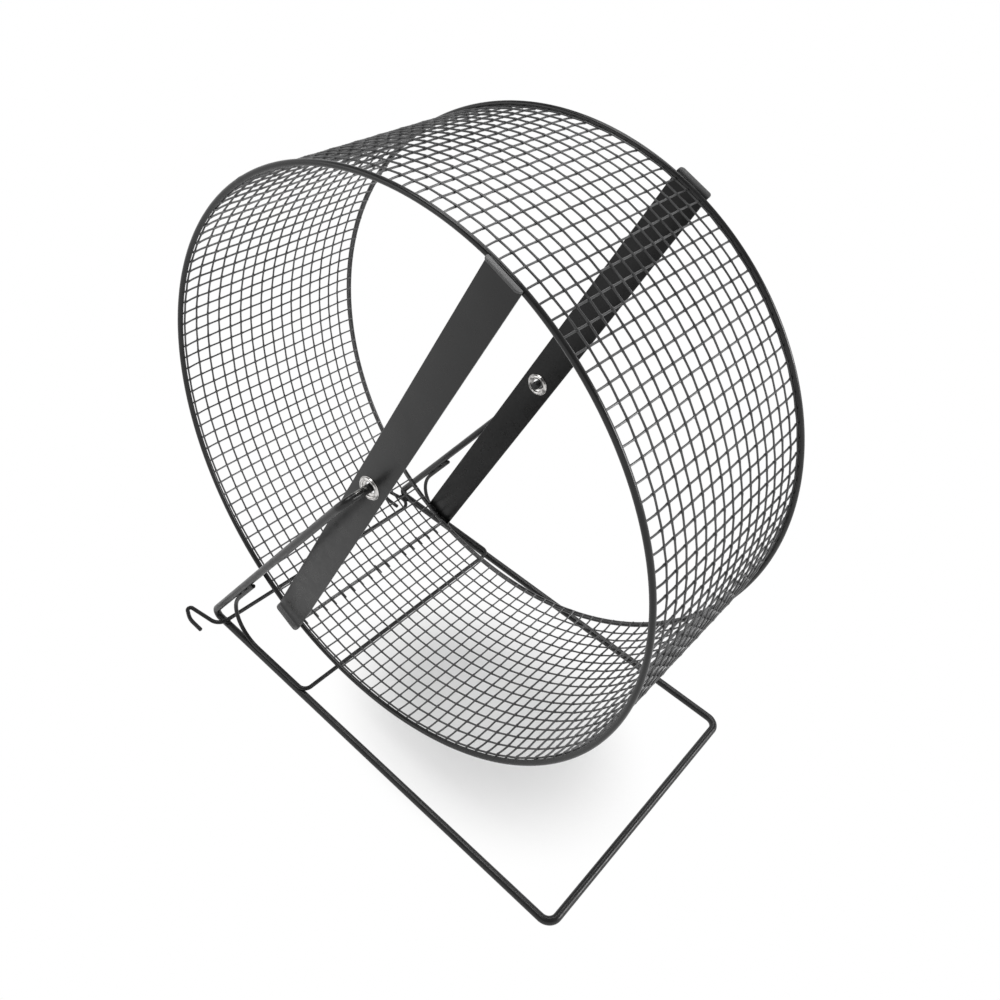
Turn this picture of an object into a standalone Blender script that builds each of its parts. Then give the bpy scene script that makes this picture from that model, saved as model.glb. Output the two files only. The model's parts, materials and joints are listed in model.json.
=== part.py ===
"""Wire running wheel on a free-standing wire stand.

The wheel is a drum of square wire mesh between two rim wires. A flat crossbar spans each open side,
and an eyelet in its middle turns on a stub of the stand. The stand is one thick bent wire, stiffened
by two thinner wires that are welded across it. Lengths are in metres. +Z is up, +Y runs along the
axle from the side with the open hooks to the far side, and +X runs along the ground rails.
"""

import math

import bmesh
import bpy
from mathutils import Matrix, Vector

# Fits and clearances
SEAT_GAP = 0.0003
HUB_CLEARANCE = 0.0005
SIDE_CLEARANCE = 0.0107
FLOOR_CLEARANCE = 0.0080
CUT_OVERRUN = 0.0020

# Wheel
WHEEL_DIAMETER = 0.2500
WHEEL_WIDTH = 0.1038
RIM_WIRE = 0.0024
MESH_WIRE = 0.0008
SEAM_WIRE = 0.0012
SEAM_TAIL = 0.0035
SEAM_ANGLE = math.radians(251.0)
CROSS_WIRE_COUNT = 128
HOOP_COUNT = 15

# Crossbars
BAR_WIDTH = 0.0155
BAR_THICKNESS = 0.0010
BAR_CORNER = 0.0018
BAR_PAST_RIM = 0.0005
BAR_TIP_LENGTH = 0.0032
BAR_TIP_BEND = math.radians(90.0)
BAR_ANGLE = math.radians(68.3)

# Eyelets
EYELET_DIAMETER = 0.0105
EYELET_WALL = 0.0006
EYELET_LIP = 0.0009

# Stand
FRAME_WIRE = 0.0036
THIN_WIRE = 0.0020
FOOT_BACK = 0.0872
FOOT_FRONT = 0.1292
FRAME_BEND = 0.0050
FOOT_BEND = 0.0030
STUB_PAST_EYELET = 0.0012
THIN_BEND = 0.0040
BRACE_SWEEP = 0.0160
BRACE_WELD = 0.0216
BRACE_RUN = 0.0340
HOOK_INSET = 0.0056
HOOK_REACH = 0.0217
HOOK_LENGTH = 0.0183
HOOK_ELBOW = 0.0091
HOOK_FLARE = 0.0038
HOOK_MOUTH = 0.0081
HOOK_LEAD = 0.0054
HOOK_TURN = 0.0014
HOOK_CURVE = 0.0130
HOOK_SWEEP = 0.0060

# Facets
WIRE_SIDES = 8
MESH_SIDES = 4
RIM_STEPS = 60
HOOP_STEPS = 44
EYELET_STEPS = 20
BEND_STEPS = 6
SWEEP_STEPS = 9
CORNER_STEPS = 4

# Places that follow from the sizes, measured from the middle of the axle
RIM_RADIUS = (WHEEL_DIAMETER - RIM_WIRE) / 2
RIM_OFFSET = (WHEEL_WIDTH - RIM_WIRE) / 2
EDGE_OFFSET = RIM_OFFSET - (RIM_WIRE + MESH_WIRE) / 2 - SEAT_GAP
HOOP_PITCH = 2 * EDGE_OFFSET / (HOOP_COUNT + 1)
CROSS_RADIUS = RIM_RADIUS - (MESH_WIRE + SEAT_GAP) / 2
HOOP_RADIUS = RIM_RADIUS + (MESH_WIRE + SEAT_GAP) / 2
BAR_OFFSET = RIM_OFFSET + (RIM_WIRE + BAR_THICKNESS) / 2 + SEAT_GAP
BAR_REACH = WHEEL_DIAMETER / 2 + BAR_PAST_RIM
EYELET_BORE = FRAME_WIRE / 2 + HUB_CLEARANCE
EYELET_BARREL = EYELET_BORE + EYELET_WALL
EYELET_SEAT = BAR_THICKNESS / 2 + SEAT_GAP
EYELET_FACE = EYELET_SEAT + EYELET_LIP
STAND_OFFSET = BAR_OFFSET + EYELET_FACE + SIDE_CLEARANCE + FRAME_WIRE / 2
STUB_END = BAR_OFFSET - EYELET_FACE - STUB_PAST_EYELET
WELD_OFFSET = (FRAME_WIRE + THIN_WIRE) / 2 + SEAT_GAP
RAIL_DROP = WHEEL_DIAMETER / 2 + FLOOR_CLEARANCE + THIN_WIRE / 2 + WELD_OFFSET
FOOT_TURN = math.pi - math.atan2(RAIL_DROP, FOOT_BACK)
HOOK_BACK = FOOT_BACK - FOOT_BEND * math.tan(FOOT_TURN / 2) - HOOK_INSET
HOOP_SWEEP_RADIUS = HOOP_RADIUS / math.cos(math.pi / HOOP_STEPS)

# Middle of the axle, with the origin under the middle of the whole object's outline
WHEEL_END = max(WHEEL_DIAMETER / 2, HOOP_SWEEP_RADIUS + MESH_WIRE / 2)
BACK_END = max(WHEEL_END, FOOT_BACK, HOOK_BACK + HOOK_REACH + THIN_WIRE / 2)
FRONT_END = max(WHEEL_END, FOOT_FRONT + FRAME_WIRE / 2)
NEAR_END = STAND_OFFSET + HOOK_LEAD + HOOK_MOUTH + THIN_WIRE / 2
FAR_END = STAND_OFFSET + FRAME_WIRE / 2
AXLE = Vector(((BACK_END - FRONT_END) / 2, (NEAR_END - FAR_END) / 2, RAIL_DROP + FRAME_WIRE / 2))


def clear_scene():
    """Remove every object that the file opened with."""
    for old in list(bpy.data.objects):
        bpy.data.objects.remove(old, do_unlink=True)


def metal(name, colour, roughness, metallic):
    """Return a Principled material with the given finish."""
    material = bpy.data.materials.new(name)
    material.use_nodes = True
    shader = material.node_tree.nodes["Principled BSDF"]
    shader.inputs["Base Color"].default_value = (*colour, 1.0)
    shader.inputs["Roughness"].default_value = roughness
    shader.inputs["Metallic"].default_value = metallic
    return material


def add_object(name, shape, material, parent):
    """Turn a bmesh into a named object under its parent empty."""
    bmesh.ops.recalc_face_normals(shape, faces=shape.faces)
    mesh = bpy.data.meshes.new(name)
    shape.to_mesh(mesh)
    shape.free()
    mesh.materials.append(material)
    mesh.shade_smooth()
    mesh.set_sharp_from_angle(angle=math.radians(50.0))
    made = bpy.data.objects.new(name, mesh)
    bpy.context.collection.objects.link(made)
    made.parent = parent
    return made


def add_empty(name, place):
    """Add an empty that carries one body."""
    empty = bpy.data.objects.new(name, None)
    empty.location = place
    bpy.context.collection.objects.link(empty)
    return empty


# Wires

def rounded_path(corners, radii, steps):
    """Return the points of a polyline whose inner corners are replaced by arcs."""
    points = [corners[0]]
    for before, corner, after, radius, count in zip(corners, corners[1:], corners[2:], radii, steps):
        inward = (before - corner).normalized()
        outward = (after - corner).normalized()
        turn = math.pi - inward.angle(outward)
        centre = corner + (inward + outward).normalized() * (radius / math.cos(turn / 2))
        start = corner + inward * (radius * math.tan(turn / 2)) - centre
        axis = inward.cross(start).normalized()
        for step in range(count + 1):
            points.append(centre + Matrix.Rotation(turn * step / count, 3, axis) @ start)
    points.append(corners[-1])
    return points


def sweep_wire(points, diameter, normal):
    """Sweep an octagonal wire along a path, with mitred bends and one flat along the first normal."""
    shape = bmesh.new()
    corner_radius = diameter / 2 / math.cos(math.pi / WIRE_SIDES)
    headings = [(after - before).normalized() for before, after in zip(points, points[1:])]
    arriving = headings[:1] + headings
    leaving = headings + headings[-1:]
    rings = []
    for point, before, after in zip(points, arriving, leaving):
        normal = before.rotation_difference(after) @ normal
        side = after.cross(normal)
        mitre = before + after
        ring = []
        for corner in range(WIRE_SIDES):
            angle = 2 * math.pi * (corner + 0.5) / WIRE_SIDES
            offset = (normal * math.cos(angle) + side * math.sin(angle)) * corner_radius
            offset -= after * (offset.dot(mitre) / after.dot(mitre))
            ring.append(shape.verts.new(point + offset))
        rings.append(ring)
    for ring, following in zip(rings, rings[1:]):
        for corner in range(WIRE_SIDES):
            beside = (corner + 1) % WIRE_SIDES
            shape.faces.new((ring[corner], ring[beside], following[beside], following[corner]))
    shape.faces.new(reversed(rings[0]))
    shape.faces.new(rings[-1])
    return shape


def spin_ring(profile, steps):
    """Spin a closed profile of (radius, offset along Y) points round the Y axis."""
    shape = bmesh.new()
    corners = [shape.verts.new((radius, offset, 0.0)) for radius, offset in profile]
    edges = []
    for corner, following in zip(corners, corners[1:] + corners[:1]):
        edges.append(shape.edges.new((corner, following)))
    bmesh.ops.spin(shape, geom=corners + edges, cent=(0.0, 0.0, 0.0), axis=(0.0, 1.0, 0.0),
                   angle=2 * math.pi, steps=steps, use_merge=True)
    return shape


def wire_profile(radius, diameter, sides, offset):
    """Return the corners of a round wire's section, cut by a plane through the axle."""
    profile = []
    for corner in range(sides):
        angle = 2 * math.pi * corner / sides
        profile.append((radius + diameter / 2 * math.cos(angle), offset + diameter / 2 * math.sin(angle)))
    return profile


# Wheel

def make_rim(name, offset, material, parent):
    """Make one of the two thick wires that edge the drum."""
    profile = wire_profile(RIM_RADIUS, RIM_WIRE, WIRE_SIDES, offset)
    return add_object(name, spin_ring(profile, RIM_STEPS), material, parent)


def make_hoop(name, offset, material, parent):
    """Make one mesh wire that runs round the drum outside the cross wires."""
    profile = wire_profile(HOOP_SWEEP_RADIUS, MESH_WIRE, MESH_SIDES, offset)
    return add_object(name, spin_ring(profile, HOOP_STEPS), material, parent)


def make_cross_wires(name, material, parent):
    """Make the mesh wires that run across the drum, joined to the hoop at each edge of the mesh."""
    shape = bmesh.new()
    half = MESH_WIRE / 2
    cell = 2 * math.pi / CROSS_WIRE_COUNT
    radii = (CROSS_RADIUS - half, CROSS_RADIUS + half)

    def place(angle, radius, along, offset):
        outward = Vector((math.cos(angle), 0.0, math.sin(angle)))
        beside = Vector((-math.sin(angle), 0.0, math.cos(angle)))
        return shape.verts.new(outward * radius + beside * along + Vector((0.0, offset, 0.0)))

    joints = {}
    for side in (-1, 1):
        near = side * (EDGE_OFFSET - half)
        far = side * (EDGE_OFFSET + half)
        ends = []
        for index in range(CROSS_WIRE_COUNT):
            angle = SEAM_ANGLE + index * cell
            ends.append([[place(angle, radius, radius * math.tan(cell / 2), offset)
                          for offset in (near, far)] for radius in radii])
            joints[side, index] = [[place(angle, radius, along, near) for along in (-half, half)]
                                   for radius in radii]
        for index in range(CROSS_WIRE_COUNT):
            start = ends[index - 1]
            end = ends[index]
            joint = joints[side, index]
            shape.faces.new((start[0][1], start[1][1], end[1][1], end[0][1]))
            for level in (0, 1):
                shape.faces.new((start[level][1], end[level][1], end[level][0],
                                 joint[level][1], joint[level][0], start[level][0]))
            shape.faces.new((start[0][0], start[1][0], joint[1][0], joint[0][0]))
            shape.faces.new((joint[0][1], joint[1][1], end[1][0], end[0][0]))
    for index in range(CROSS_WIRE_COUNT):
        near = joints[-1, index]
        far = joints[1, index]
        loop = ((0, 0), (0, 1), (1, 1), (1, 0))
        for (level, edge), (next_level, next_edge) in zip(loop, loop[1:] + loop[:1]):
            shape.faces.new((near[level][edge], near[next_level][next_edge],
                             far[next_level][next_edge], far[level][edge]))
    return add_object(name, shape, material, parent)


def make_seam(name, material, parent):
    """Make the wire that ends the mesh, with the tails of the hoop wires past it, as one flat comb."""
    shape = bmesh.new()
    outer = CROSS_RADIUS - MESH_WIRE / 2 - SEAT_GAP
    back = -SEAM_WIRE / 2
    front = SEAM_WIRE / 2
    outline = [(front, -EDGE_OFFSET)]
    for index in range(HOOP_COUNT):
        middle = (index + 1) * HOOP_PITCH - EDGE_OFFSET
        for across, along in ((-1, front), (-1, front + SEAM_TAIL), (1, front + SEAM_TAIL), (1, front)):
            outline.append((along, middle + across * MESH_WIRE / 2))
    outline += [(front, EDGE_OFFSET), (back, EDGE_OFFSET), (back, -EDGE_OFFSET)]
    face = shape.faces.new([shape.verts.new((outer, offset, along)) for along, offset in outline])
    lifted = bmesh.ops.extrude_face_region(shape, geom=[face])
    inner = [item for item in lifted["geom"] if isinstance(item, bmesh.types.BMVert)]
    bmesh.ops.translate(shape, verts=inner, vec=(-MESH_WIRE, 0.0, 0.0))
    seam = add_object(name, shape, material, parent)
    seam.rotation_euler = (0.0, -SEAM_ANGLE, 0.0)
    return seam


def bar_half_width(from_end):
    """Return half the strip's width at a distance from its end, with round corners."""
    straight = BAR_WIDTH / 2 - BAR_CORNER
    if from_end >= BAR_CORNER:
        return BAR_WIDTH / 2
    return straight + math.sqrt(BAR_CORNER ** 2 - (BAR_CORNER - from_end) ** 2)


def make_crossbar(name, side, material, parent):
    """Make a flat strip across one open side, its tips folded out just past the rim."""
    shape = bmesh.new()
    inner = BAR_OFFSET - BAR_THICKNESS / 2
    from_ends = [BAR_CORNER * (1 - math.cos(math.pi / 2 * step / CORNER_STEPS))
                 for step in range(CORNER_STEPS + 1)]
    distances = from_ends + [BAR_TIP_LENGTH]
    stations = [(-1, distance) for distance in distances]
    stations += [(1, distance) for distance in reversed(distances)]
    rings = []
    for end, from_end in stations:
        past_fold = BAR_TIP_LENGTH - from_end
        half_width = bar_half_width(from_end)
        ring = []
        for depth, width in ((0.0, -half_width), (0.0, half_width),
                             (BAR_THICKNESS, half_width), (BAR_THICKNESS, -half_width)):
            reach = BAR_REACH + past_fold * math.cos(BAR_TIP_BEND) - depth * math.sin(BAR_TIP_BEND)
            offset = inner + past_fold * math.sin(BAR_TIP_BEND) + depth * math.cos(BAR_TIP_BEND)
            if from_end == BAR_TIP_LENGTH:
                reach = BAR_REACH - depth * math.tan(BAR_TIP_BEND / 2)
                offset = inner + depth
            ring.append(shape.verts.new((end * reach, side * offset, width)))
        rings.append(ring)
    for ring, following in zip(rings, rings[1:]):
        for corner in range(4):
            beside = (corner + 1) % 4
            shape.faces.new((ring[corner], ring[beside], following[beside], following[corner]))
    shape.faces.new(rings[0])
    shape.faces.new(reversed(rings[-1]))
    bar = add_object(name, shape, material, parent)
    bar.rotation_euler = (0.0, -BAR_ANGLE, 0.0)
    return bar


def cut_hub_hole(bar, side):
    """Cut the hole for the eyelet through the middle of a crossbar."""
    shape = bmesh.new()
    bmesh.ops.create_cone(shape, cap_ends=True, segments=EYELET_STEPS,
                          radius1=EYELET_BARREL + SEAT_GAP, radius2=EYELET_BARREL + SEAT_GAP,
                          depth=BAR_THICKNESS + 2 * CUT_OVERRUN)
    bmesh.ops.rotate(shape, verts=shape.verts, matrix=Matrix.Rotation(math.pi / 2, 3, "X"))
    bmesh.ops.translate(shape, verts=shape.verts, vec=(0.0, side * BAR_OFFSET, 0.0))
    cutter = add_object(bar.name + "_hole", shape, bar.data.materials[0], bar.parent)
    cutter.hide_render = True
    cutter.display_type = "WIRE"
    cut = bar.modifiers.new("hub hole", "BOOLEAN")
    cut.operation = "DIFFERENCE"
    cut.solver = "EXACT"
    cut.object = cutter


def make_eyelet(name, side, material, parent):
    """Make a rolled eyelet that lines the hole in one crossbar."""
    rim = EYELET_DIAMETER / 2
    half = []
    half.append((EYELET_BARREL, EYELET_SEAT))
    half.append((rim, EYELET_SEAT))
    half.append((rim, EYELET_SEAT + EYELET_LIP / 3))
    half.append((rim - EYELET_LIP, EYELET_FACE))
    half.append((EYELET_BORE + EYELET_LIP / 2, EYELET_FACE))
    half.append((EYELET_BORE, EYELET_SEAT + EYELET_LIP / 3))
    profile = [(radius, side * BAR_OFFSET + offset) for radius, offset in half]
    profile += [(radius, side * BAR_OFFSET - offset) for radius, offset in reversed(half)]
    return add_object(name, spin_ring(profile, EYELET_STEPS), material, parent)


# Stand

def upright_heading():
    """Return the direction of an upright, from the axle down to its foot."""
    return Vector((-FOOT_BACK, 0.0, -RAIL_DROP)).normalized()


def make_stand_frame(name, material, parent):
    """Make the thick wire: stub, upright, ground rail, far cross, rail, upright, stub."""
    near = -STAND_OFFSET
    far = STAND_OFFSET
    corners = [Vector((0.0, -STUB_END, 0.0)), Vector((0.0, near, 0.0)),
               Vector((-FOOT_BACK, near, -RAIL_DROP)), Vector((FOOT_FRONT, near, -RAIL_DROP)),
               Vector((FOOT_FRONT, far, -RAIL_DROP)), Vector((-FOOT_BACK, far, -RAIL_DROP)),
               Vector((0.0, far, 0.0)), Vector((0.0, STUB_END, 0.0))]
    bends = [FRAME_BEND, FOOT_BEND, FRAME_BEND, FRAME_BEND, FOOT_BEND, FRAME_BEND]
    points = rounded_path(corners, bends, [BEND_STEPS] * 6)
    heading = upright_heading()
    across = Vector((-heading.z, 0.0, heading.x))
    return add_object(name, sweep_wire(points, FRAME_WIRE, across), material, parent)


def make_brace_wire(name, material, parent):
    """Make the thin wire that braces both uprights and crosses under the drum."""
    heading = upright_heading()
    inward = Vector((-heading.z, 0.0, heading.x))
    level = -RAIL_DROP + WELD_OFFSET
    on_upright = inward * WELD_OFFSET
    foot = on_upright + heading * ((level - on_upright.z) / heading.z)
    arc_run = BRACE_SWEEP * math.tan(FOOT_TURN / 2)
    start = foot - heading * (arc_run + BRACE_WELD)
    side = Vector((0.0, STAND_OFFSET, 0.0))
    cross = foot + Vector((arc_run + BRACE_RUN, 0.0, 0.0))
    corners = [start - side, foot - side, cross - side, cross + side, foot + side, start + side]
    points = rounded_path(corners, [BRACE_SWEEP, THIN_BEND, THIN_BEND, BRACE_SWEEP],
                          [SWEEP_STEPS, BEND_STEPS, BEND_STEPS, SWEEP_STEPS])
    return add_object(name, sweep_wire(points, THIN_WIRE, inward), material, parent)


def hook_corners(lead, level):
    """Return a hook's corners: its tip, its elbow, the end of its curl and its foot on the rail."""
    curl = HOOK_BACK + HOOK_REACH
    return [Vector((HOOK_LENGTH - curl, lead - HOOK_MOUTH, level)),
            Vector((HOOK_ELBOW - curl, lead - HOOK_MOUTH, level)),
            Vector((-curl, lead - HOOK_FLARE, level)), Vector((-HOOK_BACK, lead, level))]


def make_hook_wire(name, material, parent):
    """Make the thin cross wire whose ends curl into two open hooks that point the same way."""
    flare = math.atan2(HOOK_FLARE, HOOK_REACH)
    far_lead = STAND_OFFSET - WELD_OFFSET + HOOK_SWEEP * (math.tan(math.pi / 4 + flare / 2) - 1)
    near_hook = hook_corners(-STAND_OFFSET - HOOK_LEAD, -RAIL_DROP + WELD_OFFSET)
    far_hook = hook_corners(far_lead, -RAIL_DROP)
    bends = [HOOK_CURVE, HOOK_TURN, HOOK_SWEEP]
    steps = [CORNER_STEPS, SWEEP_STEPS, BEND_STEPS]
    points = rounded_path(near_hook + far_hook[::-1], bends + bends[::-1], steps + steps[::-1])
    return add_object(name, sweep_wire(points, THIN_WIRE, Vector((0.0, 0.0, 1.0))), material, parent)


def main():
    """Build the whole object."""
    clear_scene()
    stand = add_empty("stand_base", AXLE)
    wheel = add_empty("wheel_axis", AXLE)
    make_stand_frame("stand_frame", metal("stand wire", (0.020, 0.020, 0.021), 0.42, 0.0), stand)
    thin_coat = metal("thin stand wire", (0.018, 0.018, 0.019), 0.45, 0.0)
    make_brace_wire("brace_wire", thin_coat, stand)
    make_hook_wire("hook_wire", thin_coat, stand)
    rim_coat = metal("rim wire", (0.017, 0.017, 0.018), 0.40, 0.0)
    strip_coat = metal("crossbar strip", (0.032, 0.032, 0.033), 0.50, 0.0)
    nickel = metal("nickel plated eyelet", (0.66, 0.66, 0.63), 0.25, 1.0)
    mesh_coat = metal("mesh wire", (0.014, 0.014, 0.015), 0.48, 0.0)
    for end, side in (("front", -1), ("rear", 1)):
        make_rim(end + "_rim", side * RIM_OFFSET, rim_coat, wheel)
        bar = make_crossbar(end + "_crossbar", side, strip_coat, wheel)
        cut_hub_hole(bar, side)
        make_eyelet(end + "_eyelet", side, nickel, wheel)
    make_cross_wires("mesh_cross_wires", mesh_coat, wheel)
    make_seam("mesh_seam", mesh_coat, wheel)
    for index in range(HOOP_COUNT):
        offset = (index + 1) * HOOP_PITCH - EDGE_OFFSET
        make_hoop("mesh_hoop_%02d" % (index + 1), offset, mesh_coat, wheel)


main()
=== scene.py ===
"""Wire running wheel on a free-standing wire stand, dressed for a studio picture.

Every surface is a grid of points worked out with numpy: a round section carried along a bent line,
a profile turned round the axle, or a strip with round corners. Lengths are in metres.
"""

import math

import bpy
import numpy as np
from bpy.props import FloatProperty, FloatVectorProperty, IntProperty, PointerProperty
from bpy.types import Operator, Panel, PropertyGroup
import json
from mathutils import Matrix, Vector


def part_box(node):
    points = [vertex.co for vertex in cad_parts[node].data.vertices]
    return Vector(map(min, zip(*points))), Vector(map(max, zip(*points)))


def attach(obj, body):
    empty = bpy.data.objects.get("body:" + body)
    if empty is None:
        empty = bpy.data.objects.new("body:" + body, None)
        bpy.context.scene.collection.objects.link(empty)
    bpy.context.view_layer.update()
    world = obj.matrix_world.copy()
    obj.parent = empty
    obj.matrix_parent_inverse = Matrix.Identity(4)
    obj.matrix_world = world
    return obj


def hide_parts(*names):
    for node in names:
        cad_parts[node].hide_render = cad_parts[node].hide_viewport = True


bl_info = {
    "name": "Wire Running Wheel",
    "version": (1, 0, 0),
    "blender": (4, 5, 0),
    "location": "View3D > Sidebar > Running Wheel",
    "description": "Builds a woven wire running wheel on a bent wire stand",
    "category": "Add Mesh",
}

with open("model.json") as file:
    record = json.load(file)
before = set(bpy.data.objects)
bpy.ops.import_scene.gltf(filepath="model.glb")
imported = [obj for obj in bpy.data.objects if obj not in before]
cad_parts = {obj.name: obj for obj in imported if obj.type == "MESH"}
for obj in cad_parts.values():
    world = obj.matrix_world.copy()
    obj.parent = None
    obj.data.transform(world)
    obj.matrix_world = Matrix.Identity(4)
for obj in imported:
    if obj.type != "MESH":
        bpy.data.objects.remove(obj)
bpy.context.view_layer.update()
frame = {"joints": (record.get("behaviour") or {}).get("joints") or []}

# Places read from the fixed frame
HUB = np.array(frame["joints"][0]["pos_m"])
STAND_LOW, STAND_HIGH = (np.array(corner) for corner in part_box("stand_frame"))
BRACE_LOW, BRACE_HIGH = (np.array(corner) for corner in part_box("brace_wire"))
HOOK_LOW, HOOK_HIGH = (np.array(corner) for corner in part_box("hook_wire"))
RIM_LOW, RIM_HIGH = (np.array(corner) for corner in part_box("front_rim"))
BAR_HIGH = np.array(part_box("rear_crossbar")[1])
HOOP_NODES = ["mesh_hoop_%02d" % number for number in range(1, 16)]

ALONG = np.array([1.0, 0.0, 0.0])
ACROSS = np.array([0.0, 1.0, 0.0])
UP = np.array([0.0, 0.0, 1.0])
MM = 0.001
SMOOTH_ANGLE = math.radians(40.0)
TURN = 2.0 * math.pi
QUARTER = math.pi / 2.0
SEAT_GAP = 0.02 * MM


class StandSizes(PropertyGroup):
    """Sizes of the stand's bent wires."""

    wire: FloatProperty(name="Thick wire", description="Diameter of the frame wire",
                        default=3.6 * MM, unit="LENGTH")
    thin_wire: FloatProperty(name="Thin wire", description="Diameter of the brace and hook wires",
                             default=2.0 * MM, unit="LENGTH")
    bend: FloatProperty(name="Bend", description="Bend radius of the thick wire", default=5.0 * MM,
                        unit="LENGTH")
    thin_bend: FloatProperty(name="Thin bend",
                             description="Bend radius of the brace wire's corners",
                             default=4.0 * MM, unit="LENGTH")
    foot_bend: FloatProperty(name="Foot bend",
                             description="Bend radius of the thick wire at its feet",
                             default=3.0 * MM, unit="LENGTH")
    foot_back: FloatProperty(name="Foot back",
                             description="Distance from the axle back to the feet",
                             default=87.2 * MM, unit="LENGTH")
    stub_end: FloatProperty(name="Stub end",
                            description="Distance from the middle plane to a stub's end",
                            default=49.8 * MM, unit="LENGTH")
    sweep: FloatProperty(name="Sweep", description="Bend radius of the brace wire at the feet",
                         default=16.0 * MM, unit="LENGTH")
    brace_weld: FloatProperty(name="Brace weld",
                              description="Length of brace wire laid on an upright",
                              default=21.6 * MM, unit="LENGTH")
    hook_reach: FloatProperty(name="Hook reach",
                              description="Distance from the cross wire to a hook's curl",
                              default=21.7 * MM, unit="LENGTH")
    hook_length: FloatProperty(name="Hook length",
                               description="Distance from the curl to a hook's tip",
                               default=18.3 * MM, unit="LENGTH")
    hook_elbow: FloatProperty(name="Hook elbow",
                              description="Distance from the curl to a hook's elbow",
                              default=9.1 * MM, unit="LENGTH")
    hook_flare: FloatProperty(name="Hook flare", description="How far a hook's curl leans sideways",
                              default=3.8 * MM, unit="LENGTH")
    hook_mouth: FloatProperty(name="Hook mouth",
                              description="Distance from a hook's root to its tip",
                              default=8.1 * MM, unit="LENGTH")
    hook_bends: FloatVectorProperty(name="Hook bends",
                                    description="Bend radii at elbow, curl and root",
                                    default=(13.0 * MM, 1.4 * MM, 6.0 * MM), unit="LENGTH", size=3)


class WheelSizes(PropertyGroup):
    """Sizes of the drum, its crossbars and its eyelets."""

    rim_wire: FloatProperty(name="Rim wire", description="Diameter of the rim wires",
                            default=2.4 * MM, unit="LENGTH")
    mesh_wire: FloatProperty(name="Mesh wire", description="Diameter of the woven wires",
                             default=0.8 * MM, unit="LENGTH")
    weave: FloatProperty(name="Weave", description="How far a wire of the mesh swings each way",
                         default=0.06 * MM, unit="LENGTH")
    lay: FloatProperty(name="Lay", description="How far the hoops lie outside the cross wires",
                       default=0.34 * MM, unit="LENGTH")
    drift: FloatProperty(name="Drift",
                         description="How far a wire of the mesh strays from its line",
                         default=0.12 * MM, unit="LENGTH")
    knot: FloatProperty(name="Knot",
                        description="Share by which pooled coating thickens a crossing",
                        default=0.30)
    cross_wires: IntProperty(name="Cross wires", description="Wires across the drum", default=128)
    edge: FloatProperty(name="Mesh edge", description="Half the mesh's width at its even pitch",
                        default=48.8 * MM, unit="LENGTH")
    rim_seat: FloatProperty(name="Rim seat",
                            description="Distance that a rim is pressed toward its strip",
                            default=0.35 * MM, unit="LENGTH")
    edge_seat: FloatVectorProperty(name="Edge seat",
                                   description="Steps from a rim's centre line to its edge hoop: "
                                   "down, and inward at the front and the rear",
                                   default=(1.1 * MM, 1.65 * MM, 1.1 * MM), unit="LENGTH", size=3)
    sink: FloatProperty(name="Sink",
                        description="Distance of the mesh inside the rims' centre lines",
                        default=0.45 * MM, unit="LENGTH")
    seam_angle: FloatProperty(name="Seam", description="Place of the mesh seam round the drum",
                              default=math.radians(251.0), subtype="ANGLE")
    bar_width: FloatProperty(name="Bar width", description="Width of a crossbar", default=15.5 * MM,
                             unit="LENGTH")
    bar_thickness: FloatProperty(name="Bar thickness", description="Thickness of a crossbar",
                                 default=1.0 * MM, unit="LENGTH")
    bar_corner: FloatProperty(name="Bar corner", description="Corner radius of a crossbar",
                              default=1.8 * MM, unit="LENGTH")
    bar_reach: FloatProperty(name="Bar reach",
                             description="Distance from the axle to a crossbar's fold",
                             default=125.5 * MM, unit="LENGTH")
    tip_length: FloatProperty(name="Tip length", description="Length of a crossbar's folded tip",
                              default=3.2 * MM, unit="LENGTH")
    bar_angle: FloatProperty(name="Bar angle", description="Slope of the crossbars",
                             default=math.radians(68.3), subtype="ANGLE")
    eyelet: FloatProperty(name="Eyelet", description="Diameter of an eyelet", default=10.5 * MM,
                          unit="LENGTH")
    bore: FloatProperty(name="Bore", description="Diameter of an eyelet's bore", default=5.3 * MM,
                        unit="LENGTH")
    eyelet_height: FloatProperty(name="Eyelet height", description="How proud an eyelet stands",
                                 default=1.1 * MM, unit="LENGTH")


class Finishes(PropertyGroup):
    """Colours of the coatings and metals."""

    coat: FloatVectorProperty(name="Wire coat", description="Colour of the black coating",
                              default=(0.018, 0.018, 0.0183), subtype="COLOR", size=3)
    rim: FloatVectorProperty(name="Rim coat", description="Colour of the coating on the rims",
                             default=(0.016, 0.016, 0.0163), subtype="COLOR", size=3)
    strip: FloatVectorProperty(name="Strip coat", description="Colour of the crossbars' coating",
                               default=(0.012, 0.012, 0.0122), subtype="COLOR", size=3)
    mesh: FloatVectorProperty(name="Mesh coat", description="Colour of the coating on the mesh",
                              default=(0.080, 0.080, 0.0815), subtype="COLOR", size=3)
    # Painted light: the pale colour laid on the crossbars' lit tips and on the front bar's low end,
    # in place of the light that falls on them.
    tip: FloatVectorProperty(name="Painted light coat",
                             description="Colour of the coating rubbed pale on the tips",
                             default=(0.22, 0.22, 0.221), subtype="COLOR", size=3)
    nickel: FloatVectorProperty(name="Nickel", description="Colour of the eyelets' plating",
                                default=(0.46, 0.45, 0.44), subtype="COLOR", size=3)
    # Bare steel shows on the stubs' tops, partly for wear and partly as a painted glint on their
    # lit tops.
    steel: FloatVectorProperty(name="Steel", description="Colour of bare steel under worn coating",
                               default=(0.34, 0.335, 0.325), subtype="COLOR", size=3)


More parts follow.
